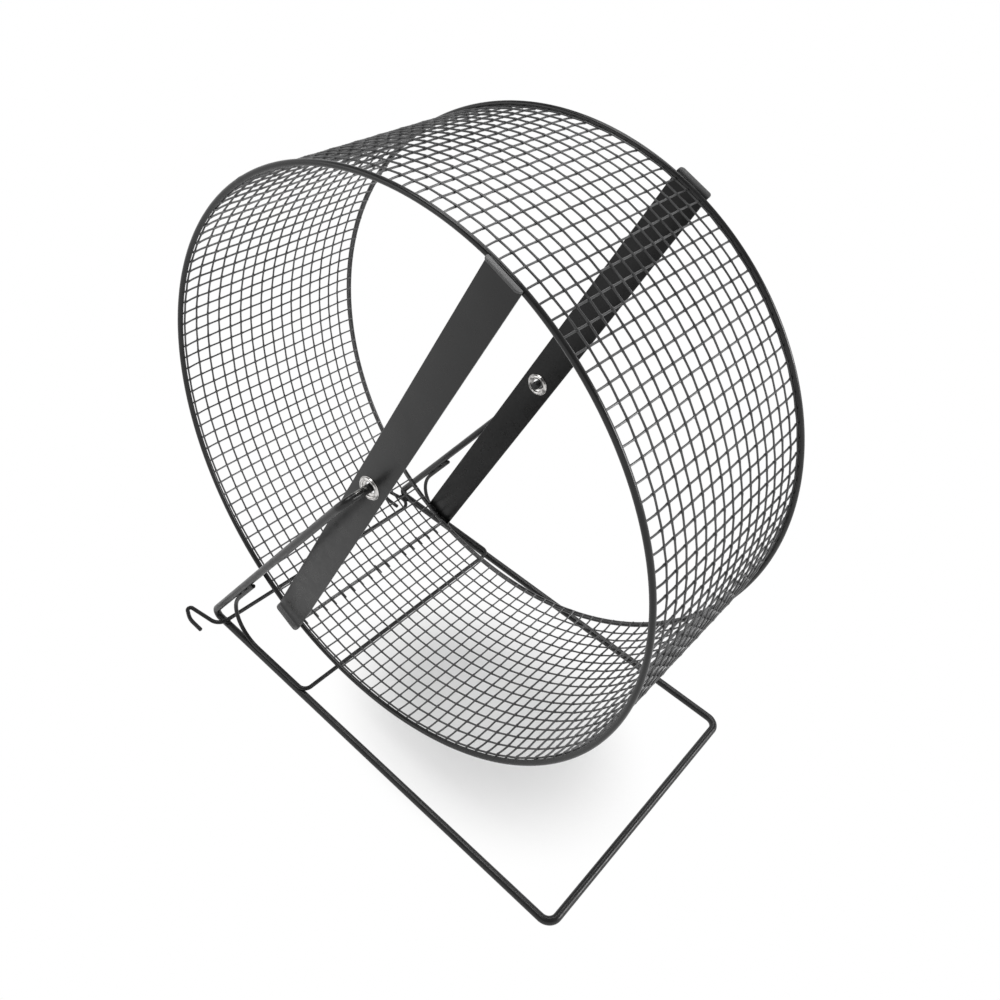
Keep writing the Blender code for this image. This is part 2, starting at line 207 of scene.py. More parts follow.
class StageLook(PropertyGroup):
    """Floor, lamps and camera."""

    floor: FloatVectorProperty(name="Floor", description="Colour of the floor",
                               default=(0.60, 0.60, 0.60), subtype="COLOR", size=3)
    floor_lift: FloatProperty(name="Floor lift",
                              description="Light that the floor adds for the camera", default=0.28)
    key_power: FloatProperty(name="Key lamp", description="Power of the lamp overhead", default=4.8,
                             unit="POWER")
    back_power: FloatProperty(name="Back lamp", description="Power of the lamp behind and above",
                              default=4.0, unit="POWER")
    side_power: FloatProperty(name="Side lamp", description="Power of the lamp at the back right",
                              default=7.5, unit="POWER")
    fill_power: FloatProperty(name="Fill lamp", description="Power of the lamp at the front left",
                              default=1.3, unit="POWER")
    room: FloatProperty(name="Room", description="Strength of the light from all round",
                        default=0.25)
    eye: FloatVectorProperty(name="Camera", description="Place of the camera",
                             default=(0.18312, -0.24571, 0.38962), subtype="TRANSLATION", size=3)
    aim: FloatVectorProperty(name="Camera turn", description="Turn of the camera",
                             default=tuple(math.radians(a) for a in (52.366, -6.391, 42.295)),
                             subtype="EULER", size=3)
    lens: FloatProperty(name="Lens", description="Focal length in millimetres", default=34.465)
    shift: FloatVectorProperty(name="Shift", description="Camera shift, as shares of the frame",
                               default=(0.0479, -0.0920), size=2)


# Surfaces

def turns(axis, angles):
    """Return a rotation matrix for each angle: R = I cos a + (1 - cos a) k kT + [k] sin a."""
    x, y, z = axis
    skew = np.array([[0.0, -z, y], [z, 0.0, -x], [-y, x, 0.0]])
    cosines = np.cos(angles)[:, None, None]
    sines = np.sin(angles)[:, None, None]
    return np.eye(3) * cosines + np.outer(axis, axis) * (1.0 - cosines) + skew * sines


def unit(vectors):
    """Return the vectors divided by their lengths."""
    return vectors / np.linalg.norm(vectors, axis=-1, keepdims=True)


def axes(tangent, normal):
    """Return frames whose columns are the tangent T, the normal N and the side T x N."""
    return np.stack([tangent, normal, np.cross(tangent, normal)], axis=-1)


def bent_line(corners, bends, normal, step=2.0 * MM, arc_steps=14):
    """Return points and frames along straight runs joined by arcs.

    Each corner is cut back by radius * tan(turn / 2), and the arc between is the end of the
    straight run turned about the bend's centre. The frame (tangent, normal, side) turns with it, so
    it never twists.
    """
    corners = np.array(corners, float)
    headings = unit(np.diff(corners, axis=0))
    basis = axes(headings[0], normal)
    points = []
    frames = []
    start = corners[0]
    for corner, before, after, bend in zip(corners[1:-1], headings, headings[1:], bends):
        turn = math.acos(np.clip(before @ after, -1.0, 1.0))
        axis = unit(np.cross(before, after))
        arc_start = corner - before * bend * math.tan(turn / 2.0)
        centre = arc_start + np.cross(axis, before) * bend
        count = max(int(np.linalg.norm(arc_start - start) / step), 1)
        shares = np.arange(count)[:, None] / count
        points.append(start + (arc_start - start) * shares)
        frames.append(np.repeat(basis[None], count, axis=0))
        spins = turns(axis, np.linspace(0.0, turn, arc_steps + 1))
        points.append((centre + spins @ (arc_start - centre))[:-1])
        frames.append((spins @ basis)[:-1])
        start = centre + spins[-1] @ (arc_start - centre)
        basis = spins[-1] @ basis
    count = max(int(np.linalg.norm(corners[-1] - start) / step), 1)
    shares = np.linspace(0.0, 1.0, count + 1)[:, None]
    points.append(start + (corners[-1] - start) * shares)
    frames.append(np.repeat(basis[None], count + 1, axis=0))
    return np.concatenate(points), np.concatenate(frames)


def rounded_ends(points, frames, radius, edge, steps=4):
    """Add rows at both ends of a line so that its radius falls along a quarter circle.

    At the share q of the quarter turn the row lies edge * (1 - sin q) from the end, with the radius
    less edge * (1 - cos q).
    """
    quarter = np.linspace(QUARTER, 0.0, steps)
    inset = edge * (1.0 - np.sin(quarter))
    loss = edge * (1.0 - np.cos(quarter))
    first = points[0] + frames[0][:, 0] * inset[:, None]
    last = points[-1] - frames[-1][:, 0] * inset[::-1, None]
    keep = slice(1, -1)
    radii = np.broadcast_to(radius, len(points))
    line = np.concatenate([first, points[keep], last])
    bases = np.concatenate([np.repeat(frames[:1], steps, axis=0), frames[keep],
                            np.repeat(frames[-1:], steps, axis=0)])
    sizes = np.concatenate([radii[0] - loss, radii[keep], radii[-1] - loss[::-1]])
    return line, bases, sizes


def tube(points, frames, radii, sides=20, flatten=1.0):
    """Carry a circle along a line: P(s, a) = C(s) + r(s) (N(s) cos a + f B(s) sin a)."""
    around = TURN * np.arange(sides) / sides
    normals = frames[..., :, 1][..., None, :] * np.cos(around)[:, None]
    sideways = frames[..., :, 2][..., None, :] * np.sin(around)[:, None] * flatten
    sizes = np.broadcast_to(radii, points.shape[:-1])
    return points[..., None, :] + sizes[..., None, None] * (normals + sideways)


def wire(corners, bends, normal, diameter, sides=20, edge=0.4 * MM):
    """Return the grid of a bent wire with rounded cut ends, and the middle point of each row."""
    points, frames = bent_line(corners, bends, normal)
    points, frames, radii = rounded_ends(points, frames, diameter / 2.0, edge)
    return tube(points, frames, radii, sides), points


def radial(angles):
    """Return unit vectors out from the axle: (cos t, 0, sin t)."""
    return np.stack([np.cos(angles), np.zeros_like(angles), np.sin(angles)], axis=-1)


def turned(profile, steps):
    """Turn a closed profile (radius, offset) round the axle: P(t, p) = hub + r(p) e(t) + y(p) Y."""
    angles = TURN * np.arange(steps) / steps
    return HUB + profile[None, :, :1] * radial(angles)[:, None] + profile[None, :, 1:] * ACROSS


def grid_faces(count, rows, sides, closed):
    """Return the quads of count grids, closed round their sides and, where asked, along them."""
    row = np.arange(rows if closed else rows - 1)[:, None] * sides
    following = (row + sides) % (rows * sides)
    side = np.arange(sides)[None, :]
    beside = (side + 1) % sides
    quads = np.stack([row + side, row + beside, following + beside, following + side], axis=-1)
    shifts = np.arange(count)[:, None, None] * rows * sides
    return (quads.reshape(1, -1, 4) + shifts).reshape(-1, 4)


def make_piece(name, patches, material, masks=None):
    """Join grids shaped (rows, sides, 3) or (copies, rows, sides, 3) into one closed mesh.

    An open grid gets a flat face over its first and last row.
    """
    points = []
    faces = []
    total = 0
    for grid, closed in patches:
        grid = grid if grid.ndim == 4 else grid[None]
        count, rows, sides = grid.shape[:3]
        faces += (grid_faces(count, rows, sides, closed) + total).tolist()
        if not closed:
            starts = np.arange(count)[:, None] * rows * sides + total
            ring = np.arange(sides)[None, :]
            faces += (starts + ring[:, ::-1]).tolist()
            faces += (starts + (rows - 1) * sides + ring).tolist()
        points.append(grid.reshape(-1, 3))
        total += count * rows * sides
    mesh = bpy.data.meshes.new(name)
    mesh.from_pydata(np.concatenate(points).tolist(), [], faces)
    mesh.validate()
    for mask, values in (masks or {}).items():
        layer = mesh.attributes.new(mask, "FLOAT", "POINT")
        shades = np.concatenate([np.ravel(part) for part in values])
        layer.data.foreach_set("value", shades.astype(np.float32))
    mesh.materials.append(material)
    mesh.shade_smooth()
    mesh.set_sharp_from_angle(angle=SMOOTH_ANGLE)
    piece = bpy.data.objects.new(name, mesh)
    bpy.context.scene.collection.objects.link(piece)
    return piece


def settle(piece, body, slot, *nodes):
    """Let a piece move with its body and stand for its nodes. The slot is not used."""
    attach(piece, body)
    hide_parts(*nodes)


def nugget(centre, along, normal, length, width, height):
    """Return a weld nugget: a flattened tube whose radius follows sqrt(1 - s * s) along its length.

    It stops just short of its ends, so that its last rings keep a size.
    """
    reach = 0.97 * QUARTER
    shares = np.sin(np.linspace(-reach, reach, 9))
    points = np.array(centre) + shares[:, None] * along * length / 2.0
    frames = np.repeat(axes(along, normal)[None], len(shares), axis=0)
    return tube(points, frames, np.sqrt(1.0 - shares ** 2) * height / 2.0, 12, width / height)


# Finishes

def new_group(name, inputs):
    """Return a node group with the given inputs and three outputs, and its two end nodes."""
    group = bpy.data.node_groups.new(name, "ShaderNodeTree")
    for label, kind, value in inputs:
        socket = group.interface.new_socket(name=label, in_out="INPUT", socket_type=kind)
        socket.default_value = value
    for label, kind in (("Color", "NodeSocketColor"), ("Roughness", "NodeSocketFloat"),
                        ("Height", "NodeSocketFloat")):
        group.interface.new_socket(name=label, in_out="OUTPUT", socket_type=kind)
    return group, group.nodes.new("NodeGroupInput"), group.nodes.new("NodeGroupOutput")


def add_node(tree, kind, **settings):
    """Add a node and set its properties."""
    node = tree.nodes.new(kind)
    for key, value in settings.items():
        setattr(node, key, value)
    return node


def feed(tree, socket, value):
    """Link a socket to another one, or set it to a plain value."""
    if isinstance(value, bpy.types.NodeSocket):
        tree.links.new(value, socket)
    else:
        socket.default_value = value


def feed_named(tree, node, **values):
    """Feed a node's inputs by name, with an underline for a space."""
    for key, value in values.items():
        feed(tree, node.inputs[key.replace("_", " ")], value)


def object_place(tree):
    """Return the place on the object in its own coordinates."""
    return tree.nodes.new("ShaderNodeTexCoord").outputs["Object"]


def stretched(tree, place, scale):
    """Return a place with each axis multiplied by its own number."""
    node = add_node(tree, "ShaderNodeMapping")
    feed_named(tree, node, Vector=place, Scale=scale)
    return node.outputs["Vector"]


def remap(tree, value, low, high, start, end):
    """Map a value from one range to another along 3 t^2 - 2 t^3, held at its ends."""
    node = add_node(tree, "ShaderNodeMapRange", interpolation_type="SMOOTHSTEP")
    feed_named(tree, node, Value=value, From_Min=low, From_Max=high, To_Min=start, To_Max=end)
    return node.outputs["Result"]


def blend_colour(tree, share, first, second):
    """Mix two colours by a share: (1 - s) A + s B."""
    node = add_node(tree, "ShaderNodeMix", data_type="RGBA")
    feed_named(tree, node, Factor=share)
    feed(tree, node.inputs[6], first)
    feed(tree, node.inputs[7], second)
    return node.outputs[2]


def noise(tree, place, scale, detail=2.0, rough=0.5):
    """Return the value of a noise texture."""
    node = add_node(tree, "ShaderNodeTexNoise")
    feed_named(tree, node, Vector=place, Scale=scale, Detail=detail, Roughness=rough)
    return node.outputs["Fac"]


def calculate(tree, operation, *values):
    """Return the result of a Math node."""
    node = add_node(tree, "ShaderNodeMath", operation=operation)
    for socket, value in zip(node.inputs, values):
        feed(tree, socket, value)
    return node.outputs["Value"]


def coating_group():
    """Make the shared coating: slow colour drift, uneven gloss and orange peel."""
    group, inside, out = new_group(
        "dipped coating",
        [("Dark", "NodeSocketColor", (0.01, 0.01, 0.01, 1.0)),
         ("Light", "NodeSocketColor", (0.03, 0.03, 0.03, 1.0)),
         ("Peel Scale", "NodeSocketFloat", 1400.0),
         ("Smooth", "NodeSocketFloat", 0.34),
         ("Rough", "NodeSocketFloat", 0.52)])
    place = object_place(group)
    drift = remap(group, noise(group, place, 60.0, 3.0), 0.35, 0.65, 0.0, 1.0)
    coat = blend_colour(group, drift, inside.outputs["Dark"], inside.outputs["Light"])
    patches = noise(group, place, 240.0)
    gloss = remap(group, patches, 0.35, 0.65, inside.outputs["Smooth"], inside.outputs["Rough"])
    peel = noise(group, place, inside.outputs["Peel Scale"], 1.0)
    feed_named(group, out, Color=coat, Roughness=gloss, Height=peel)
    return group


def scuffed_metal_group():
    """Make the shared rubbed metal: fine scuffs in two directions over a soft cloud."""
    group, inside, out = new_group(
        "rubbed metal",
        [("Bright", "NodeSocketColor", (0.7, 0.7, 0.7, 1.0)),
         ("Dull", "NodeSocketColor", (0.4, 0.4, 0.4, 1.0)),
         ("Smooth", "NodeSocketFloat", 0.14),
         ("Rough", "NodeSocketFloat", 0.38)])
    place = object_place(group)
    scuffs = noise(group, stretched(group, place, (1.0, 0.15, 1.0)), 2400.0, 3.0, 0.7)
    dull = remap(group, noise(group, place, 420.0), 0.42, 0.70, 0.0, 1.0)
    metal = blend_colour(group, dull, inside.outputs["Bright"], inside.outputs["Dull"])
    gloss = remap(group, scuffs, 0.3, 0.75, inside.outputs["Smooth"], inside.outputs["Rough"])
    feed_named(group, out, Color=metal, Roughness=gloss, Height=scuffs)
    return group


def shared(name, maker):
    """Return a node group, made on its first use."""
    return bpy.data.node_groups.get(name) or maker()


def new_material(name):
    """Return a material, its node tree and its shader."""
    material = bpy.data.materials.new(name)
    material.use_nodes = True
    tree = material.node_tree
    return material, tree, tree.nodes["Principled BSDF"]


def place_group(tree, group, **values):
    """Place a node group in a material with its own values."""
    node = add_node(tree, "ShaderNodeGroup", node_tree=group)
    feed_named(tree, node, **values)
    return node


def bumped(tree, height, strength=0.15, distance=0.03 * MM):
    """Return the surface's normal tilted by the slope of a height."""
    bump = add_node(tree, "ShaderNodeBump")
    feed_named(tree, bump, Strength=strength, Distance=distance, Height=height)
    return bump.outputs["Normal"]


def tinted(colour, factor):
    """Return a colour made lighter or darker, with full alpha."""
    return (*(channel * factor for channel in colour), 1.0)


def coated(name, colour, peel, smooth, rough, gloss, wear_and_glint_to=None, painted_light_to=None):
    """Return a coated metal, painted paler where its painted-light mask says so, and bare steel
    where its wear-and-glint mask says so.
    """
    material, tree, shader = new_material(name)
    coat = place_group(tree, shared("dipped coating", coating_group), Dark=tinted(colour, 0.75),
                       Light=tinted(colour, 1.25), Peel_Scale=peel, Smooth=smooth, Rough=rough)
    hue = coat.outputs["Color"]
    gloss_map = coat.outputs["Roughness"]
    # Painted light: where this mask is set, the coat's colour is mixed toward a pale colour that
    # stands in for light falling on it.
    if painted_light_to:
        rubbed = add_node(tree, "ShaderNodeAttribute", attribute_name="rubbed").outputs["Fac"]
        hue = blend_colour(tree, rubbed, hue, tinted(painted_light_to, 1.0))
        gloss_map = remap(tree, rubbed, 0.0, 1.0, gloss_map, 0.5)
    # Bare steel where the wear-and-glint mask says so: partly wear, partly a painted glint on the
    # lit tops of the stubs.
    if wear_and_glint_to:
        metal = place_group(tree, shared("rubbed metal", scuffed_metal_group), Bright=tinted(wear_and_glint_to, 1.0),
                            Dull=tinted(wear_and_glint_to, 0.6))
        worn = add_node(tree, "ShaderNodeAttribute", attribute_name="worn").outputs["Fac"]
        speckle = noise(tree, object_place(tree), 900.0, 3.0, 0.6)
        ragged = calculate(tree, "MULTIPLY_ADD", worn, 1.2, speckle)
        bare = remap(tree, ragged, 1.32, 1.46, 0.0, 1.0)
        hue = blend_colour(tree, bare, hue, metal.outputs["Color"])
        feed_named(tree, shader, Metallic=bare)
        gloss_map = remap(tree, bare, 0.0, 1.0, gloss_map, metal.outputs["Roughness"])
    feed_named(tree, shader, Base_Color=hue, Roughness=gloss_map, Specular_IOR_Level=gloss,
               Normal=bumped(tree, coat.outputs["Height"]))
    return material


def plated(name, colour):
    """Return bright plating with scuffs."""
    material, tree, shader = new_material(name)
    metal = place_group(tree, shared("rubbed metal", scuffed_metal_group), Bright=tinted(colour, 1.5),
                        Dull=tinted(colour, 0.45), Smooth=0.08, Rough=0.24)
    feed_named(tree, shader, Base_Color=metal.outputs["Color"], Metallic=1.0,
               Roughness=metal.outputs["Roughness"], Normal=bumped(tree, metal.outputs["Height"]))
    return material


# Pieces

def rails(stand):
    """Return the places across of the near and the far rail's centre line, and their height."""
    half = stand.wire / 2.0
    return STAND_LOW[1] + half, STAND_HIGH[1] - half, STAND_LOW[2] + half


def foot_turn(stand):
    """Return the turn between an upright and its ground rail."""
    return math.pi - math.atan2(HUB[2] - rails(stand)[2], stand.foot_back)


class WHEEL_OT_stand_frame(Operator):
    """Bend the thick wire of the stand"""

    bl_idname = "running_wheel.stand_frame"
    bl_label = "Stand Frame"

    def execute(self, context):
        stand = context.scene.stand_sizes
        finish = context.scene.wheel_finishes
        near, far, rail_z = rails(stand)
        front = STAND_HIGH[0] - stand.wire / 2.0
        foot = HUB[0] - stand.foot_back
        corners = [(HUB[0], HUB[1] - stand.stub_end, HUB[2]), (HUB[0], near, HUB[2]),
                   (foot, near, rail_z), (front, near, rail_z),
                   (front, far, rail_z), (foot, far, rail_z),
                   (HUB[0], far, HUB[2]), (HUB[0], HUB[1] + stand.stub_end, HUB[2])]
        turn = foot_turn(stand)
        normal = np.array([math.sin(turn), 0.0, -math.cos(turn)])
        bends = [stand.bend, stand.foot_bend, stand.bend, stand.bend, stand.foot_bend, stand.bend]
        grid, middle = wire(corners, bends, normal, stand.wire, sides=28)
        coat = coated("coated stand wire", finish.coat, peel=1200.0, smooth=0.24, rough=0.36,
                      gloss=0.40, wear_and_glint_to=finish.steel)
        # Bare steel on the stubs' tops: partly wear, partly a painted glint on their lit tops.
        worn = self.worn(grid, middle, stand.wire / 2.0)
        piece = make_piece("stand_frame_wire", [(grid, False)], coat, {"worn": [worn]})
        settle(piece, "stand", "stand_wire", "stand_frame")
        return {"FINISHED"}

    def worn(self, grid, middle, radius):
        """Return how bare each point is: the stubs' tops are, between the eyelets and the bends,
        partly for wear and partly as a painted glint where light falls on their tops.
        """
        start, end, fade = 54.5 * MM, 63.5 * MM, 3.0 * MM
        beyond = np.abs(middle[:, 1] - HUB[1])
        from_axle = np.hypot(middle[:, 0] - HUB[0], middle[:, 2] - HUB[2])
        on_stub = np.clip((beyond - start) / MM, 0.0, 1.0) * (from_axle < 6.0 * MM)
        on_stub = on_stub * np.clip((end - beyond) / fade, 0.0, 1.0)
        on_top = np.clip((grid[..., 2] - middle[:, None, 2]) / radius * 1.6 - 0.6, 0.0, 1.0)
        return on_stub[:, None] * on_top


class WHEEL_OT_thin_wires(Operator):
    """Bend the brace wire and the hook wire of the stand and weld them on"""

    bl_idname = "running_wheel.thin_wires"
    bl_label = "Brace and Hook Wires"

    def execute(self, context):
        stand = context.scene.stand_sizes
        finish = context.scene.wheel_finishes
        coat = coated("coated thin wire", finish.coat, peel=1500.0, smooth=0.26, rough=0.38,
                      gloss=0.30)
        self.brace(stand, coat)
        self.hooks(stand, coat)
        return {"FINISHED"}

    def brace(self, stand, coat):
        """Make the wire that braces both uprights, with its welds."""
        near, far, rail_z = rails(stand)
        half = stand.thin_wire / 2.0
        cross = BRACE_HIGH[0] - half
        turn = foot_turn(stand)
        heading = np.array([math.cos(turn), 0.0, -math.sin(turn)])
        inward = np.array([math.sin(turn), 0.0, math.cos(turn)])
        seat = (stand.wire + stand.thin_wire) / 2.0 + SEAT_GAP
        level = rail_z + seat
        axle = np.array([HUB[0], 0.0, HUB[2]]) + inward * seat
        foot = axle + heading * ((level - axle[2]) / heading[2])
        start = foot - heading * (stand.sweep * math.tan(turn / 2.0) + stand.brace_weld)
        corner = np.array([cross, 0.0, level])
        corners = [start + ACROSS * near, foot + ACROSS * near, corner + ACROSS * near,
                   corner + ACROSS * far, foot + ACROSS * far, start + ACROSS * far]
        bends = [stand.sweep, stand.thin_bend, stand.thin_bend, stand.sweep]
        grid, _ = wire(corners, bends, inward, stand.thin_wire)
        patches = [(grid, False)]
        for side in (near, far):
            touch = start - inward * half + ACROSS * side
            for share, length in ((0.15, 6.0 * MM), (0.55, 8.0 * MM), (0.90, 5.0 * MM)):
                spot = touch + heading * stand.brace_weld * share
                patches.append((nugget(spot, heading, inward, length, 1.7 * MM, 1.3 * MM), False))
            spot = np.array([cross - 9.0 * MM, side, level - half])
            patches.append((nugget(spot, ALONG, UP, 6.0 * MM, 2.0 * MM, 1.3 * MM), False))
        piece = make_piece("brace_wire_round", patches, coat)
        settle(piece, "stand", "thin_wire", "brace_wire")

    def hooks(self, stand, coat):
        """Make the wire whose ends curl into two open hooks, with its welds."""
        near, far, rail_z = rails(stand)
        half = stand.thin_wire / 2.0
        touch = half + 0.1 * MM
        level = HOOK_HIGH[2] - half
        cross = HOOK_HIGH[0] - half
        flare = math.atan2(stand.hook_flare, stand.hook_reach)
        root = stand.hook_bends[2]
        beside = far - (BRACE_LOW[2] + half - rail_z)
        near_lead = HOOK_LOW[1] + half + stand.hook_mouth
        far_lead = beside + root * (math.tan(math.pi / 4.0 + flare / 2.0) - 1.0)
        near_hook = self.hook(stand, cross, near_lead, level)
        far_hook = self.hook(stand, cross, far_lead, rail_z)
        bends = list(stand.hook_bends)
        grid, _ = wire(near_hook + far_hook[::-1], bends + bends[::-1], UP, stand.thin_wire)
        on_rail = (cross - 0.5 * MM, near, level - touch)
        by_rail = (cross - root, beside + touch, rail_z)
        patches = [(grid, False), (nugget(on_rail, ALONG, UP, 4.5 * MM, 3.0 * MM, 1.7 * MM), False),
                   (nugget(by_rail, ALONG, ACROSS, 7.0 * MM, 2.2 * MM, 1.7 * MM), False)]
        piece = make_piece("hook_wire_round", patches, coat)
        settle(piece, "stand", "thin_wire", "hook_wire")

    def hook(self, stand, cross, lead, level):
        """Return a hook's corners: its tip, its elbow, the end of its curl and its root."""
        curl = cross - stand.hook_reach
        tip_line = lead - stand.hook_mouth
        return [(curl + stand.hook_length, tip_line, level),
                (curl + stand.hook_elbow, tip_line, level),
                (curl, lead - stand.hook_flare, level), (cross, lead, level)]


def rim_radius(wheel):
    """Return the radius of a rim's centre line."""
    return (RIM_HIGH[0] - RIM_LOW[0] - wheel.rim_wire) / 2.0


def rim_offset(wheel):
    """Return the distance from the middle plane to a rim's centre line."""
    return HUB[1] - RIM_LOW[1] - wheel.rim_wire / 2.0 + wheel.rim_seat


def bar_offset(wheel):
    """Return the distance from the middle plane to the middle of a strip's thickness."""
    return BAR_HIGH[1] - HUB[1] - wheel.tip_length + wheel.bar_thickness / 2.0


class WHEEL_OT_rims(Operator):
    """Bend the two thick rim wires and butt-weld their ends"""

    bl_idname = "running_wheel.rims"
    bl_label = "Rims"

    def execute(self, context):
        wheel = context.scene.wheel_sizes
        finish = context.scene.wheel_finishes
        coat = coated("coated rim wire", finish.rim, peel=1300.0, smooth=0.20, rough=0.30,
                      gloss=0.42)
        steps = 360
        angles = TURN * np.arange(steps) / steps
        outward = radial(angles)
        frames = axes(np.cross(outward, ACROSS), outward)
        for end, side, joint in (("front", -1.0, 2.25), ("rear", 1.0, 5.10)):
            middle = HUB + rim_radius(wheel) * outward + side * rim_offset(wheel) * ACROSS
            grid = tube(middle, frames, self.radii(wheel, angles, joint), 16)
            piece = make_piece(end + "_rim_wire", [(grid, True)], coat)
            settle(piece, "wheel", "rim_wire", end + "_rim")
        return {"FINISHED"}

    def radii(self, wheel, angles, joint):
        """Return the wire's radius, r (1 + k exp(-(d / w)^2)) at a distance d from its weld.

        Slow sines leave it a little uneven.
        """
        away = np.abs(np.angle(np.exp(1j * (angles - joint)))) * rim_radius(wheel)
        bulge = 1.0 + 0.10 * np.exp(-(away / (0.9 * MM)) ** 2)
        uneven = 1.0 + 0.010 * np.sin(9.0 * angles + joint) * np.sin(4.0 * angles)
        return wheel.rim_wire / 2.0 * bulge * uneven


class WHEEL_OT_crossbars(Operator):
    """Form the two flat strips with round corners, folded tips and a hole for the eyelet"""

    bl_idname = "running_wheel.crossbars"
    bl_label = "Crossbars"

    def execute(self, context):
        wheel = context.scene.wheel_sizes
        finish = context.scene.wheel_finishes
        # The rear strip's coat is set less glossy than the front's so that it reads darker: a
        # painted shade for the rear strip, which sits in the drum's shade.
        for end, side, gloss in (("front", -1.0, 0.42), ("rear", 1.0, 0.25)):
            coat = coated(end + " strip coating", finish.strip, peel=2200.0, smooth=0.27,
                          rough=0.34, gloss=gloss, painted_light_to=finish.tip)
            line, grid = self.strip(wheel, side)
            # The painted-light mask lays pale colour on the strip's tips and on the front bar's low
            # end.
            rubbed = np.repeat(self.rubbed(wheel, side, line)[:, None], grid.shape[1], axis=1)
            welds = self.welds(wheel, side)
            patches = [(grid, False)] + [(weld, False) for weld in welds]
            masks = {"rubbed": [rubbed] + [np.zeros(weld.shape[:-1]) for weld in welds]}
            bar = make_piece(end + "_crossbar_strip", patches, coat, masks)
            self.drill(bar, wheel, side)
            settle(bar, "wheel", "strip", end + "_crossbar")
        return {"FINISHED"}

    def strip(self, wheel, side):
        """Return the strip's middle line, folded at both ends, and the grid of its surface.

        A flat section with round edges is carried along the line:
        P(s, p) = C(s) + w(s, p) N + h(s, p) B. Where a row lies d less than the corner radius c
        from an end, its half width is less by c - sqrt(c^2 - d^2).
        """
        out = radial(np.array(wheel.bar_angle))
        offset = bar_offset(wheel)
        fold = out * (wheel.bar_reach - wheel.bar_thickness / 2.0)
        beyond = ACROSS * side * (offset - wheel.bar_thickness / 2.0 + wheel.tip_length)
        level = ACROSS * side * offset
        width_way = np.cross(ACROSS, out)
        corners = HUB + np.array([beyond - fold, level - fold, level + fold, beyond + fold])
        bend = 1.4 * MM
        points, frames = bent_line(corners, [bend, bend], width_way, step=1.0 * MM, arc_steps=8)
        gone = np.concatenate([[0.0], np.cumsum(np.linalg.norm(np.diff(points, axis=0), axis=1))])
        whole = gone[-1]
        corner = wheel.bar_corner
        share = (1.0 - np.cos(np.linspace(0.0, QUARTER, 9))) * corner
        clear = corner * 1.02
        inner = gone[(gone > clear) & (gone < whole - clear)]
        stations = np.concatenate([share, inner, (whole - share)[::-1]])
        line = np.stack([np.interp(stations, gone, points[:, axis]) for axis in range(3)], axis=1)
        frames = frames[np.clip(np.searchsorted(gone, stations), 0, len(gone) - 1)]
        from_end = np.minimum(stations, whole - stations)
        missing = np.clip(corner - from_end, 0.0, None)
        half_width = wheel.bar_width / 2.0 - corner + np.sqrt(corner ** 2 - missing ** 2)
        edge = 0.32 * MM
        thin = np.clip(edge - from_end, 0.0, None)
        half_height = wheel.bar_thickness / 2.0 - edge + np.sqrt(edge ** 2 - thin ** 2)
        around = (np.linspace(0.0, QUARTER, 5) + QUARTER * np.arange(4)[:, None]).ravel()
        width_sign = np.repeat([1.0, -1.0, -1.0, 1.0], 5)
        height_sign = np.repeat([1.0, 1.0, -1.0, -1.0], 5)
        wide = width_sign * (half_width[:, None] - edge) + edge * np.cos(around)
        side_height = np.clip(half_height[:, None] - edge, 0.02 * MM, None)
        high = height_sign * side_height + edge * np.sin(around)
        grid = line[:, None] + wide[..., None] * frames[:, None, :, 1]
        return line, grid + high[..., None] * frames[:, None, :, 2]

    def rubbed(self, wheel, side, line):
        """Return the painted light on each row of the strip: its folded tips, and the front's low
        end, are painted pale in place of the light that falls on them.
        """
        front = side < 0.0
        low = line[:, 2] < HUB[2]
        from_middle = np.abs(line[:, 1] - HUB[1])
        past_fold = np.clip((from_middle - bar_offset(wheel)) / (0.6 * MM), 0.0, 1.0)
        reach = np.abs((line - HUB) @ radial(np.array(wheel.bar_angle)))
        near_fold = np.clip((reach - wheel.bar_reach) / (3.0 * MM) + 3.0, 0.0, 1.0)
        # Painted light: the low tips are palest, the front top tip less and the rear top tip least,
        # by how the light falls; the front bar's low end near its fold is painted pale for the
        # light and reflection it catches from the floor.
        tips = past_fold * np.where(low, 1.0, 0.70 if front else 0.35)
        return np.maximum(tips, near_fold * low * (0.5 if front else 0.0))

    def welds(self, wheel, side):
        """Return the welds between the strip and the rim: at each end a bead and two nuggets."""
        out = radial(np.array(wheel.bar_angle))
        width_way = np.cross(ACROSS, out)
        outward = ACROSS * side
        valley = outward * (bar_offset(wheel) - wheel.bar_thickness / 2.0 - 0.15 * MM)
        grids = []
        for way in (-1.0, 1.0):
            bead = HUB + way * out * (rim_radius(wheel) + 0.65 * MM) + valley
            grids.append(nugget(bead, width_way, outward, 14.6 * MM, 1.0 * MM, 0.9 * MM))
            inner = HUB + way * out * (rim_radius(wheel) - 0.6 * MM)
            for across in (-4.0 * MM, 4.0 * MM):
                spot = inner + width_way * across + valley
                grids.append(nugget(spot, width_way, outward, 4.0 * MM, 2.2 * MM, 0.9 * MM))
        return grids

    def drill(self, bar, wheel, side):
        """Cut the eyelet's hole through the bar with a boolean and keep the result as its mesh."""
        hole = wheel.bore / 2.0 + 0.6 * MM
        rows = side * bar_offset(wheel) + np.array([-3.0 * MM, 3.0 * MM])
        ring = HUB + hole * radial(TURN * np.arange(48)[::-1] / 48)
        grid = ring + rows[:, None, None] * ACROSS
        cutter = make_piece("hole_cutter", [(grid, False)], bar.data.materials[0])
        cut = bar.modifiers.new("hole", "BOOLEAN")
        cut.operation = "DIFFERENCE"
        cut.solver = "EXACT"
        cut.object = cutter
        graph = bpy.context.evaluated_depsgraph_get()
        drilled = bpy.data.meshes.new_from_object(bar.evaluated_get(graph))
        bar.modifiers.clear()
        bar.data = drilled
        bar.data.name = bar.name
        drilled.shade_smooth()
        drilled.set_sharp_from_angle(angle=SMOOTH_ANGLE)
        bpy.data.objects.remove(cutter, do_unlink=True)


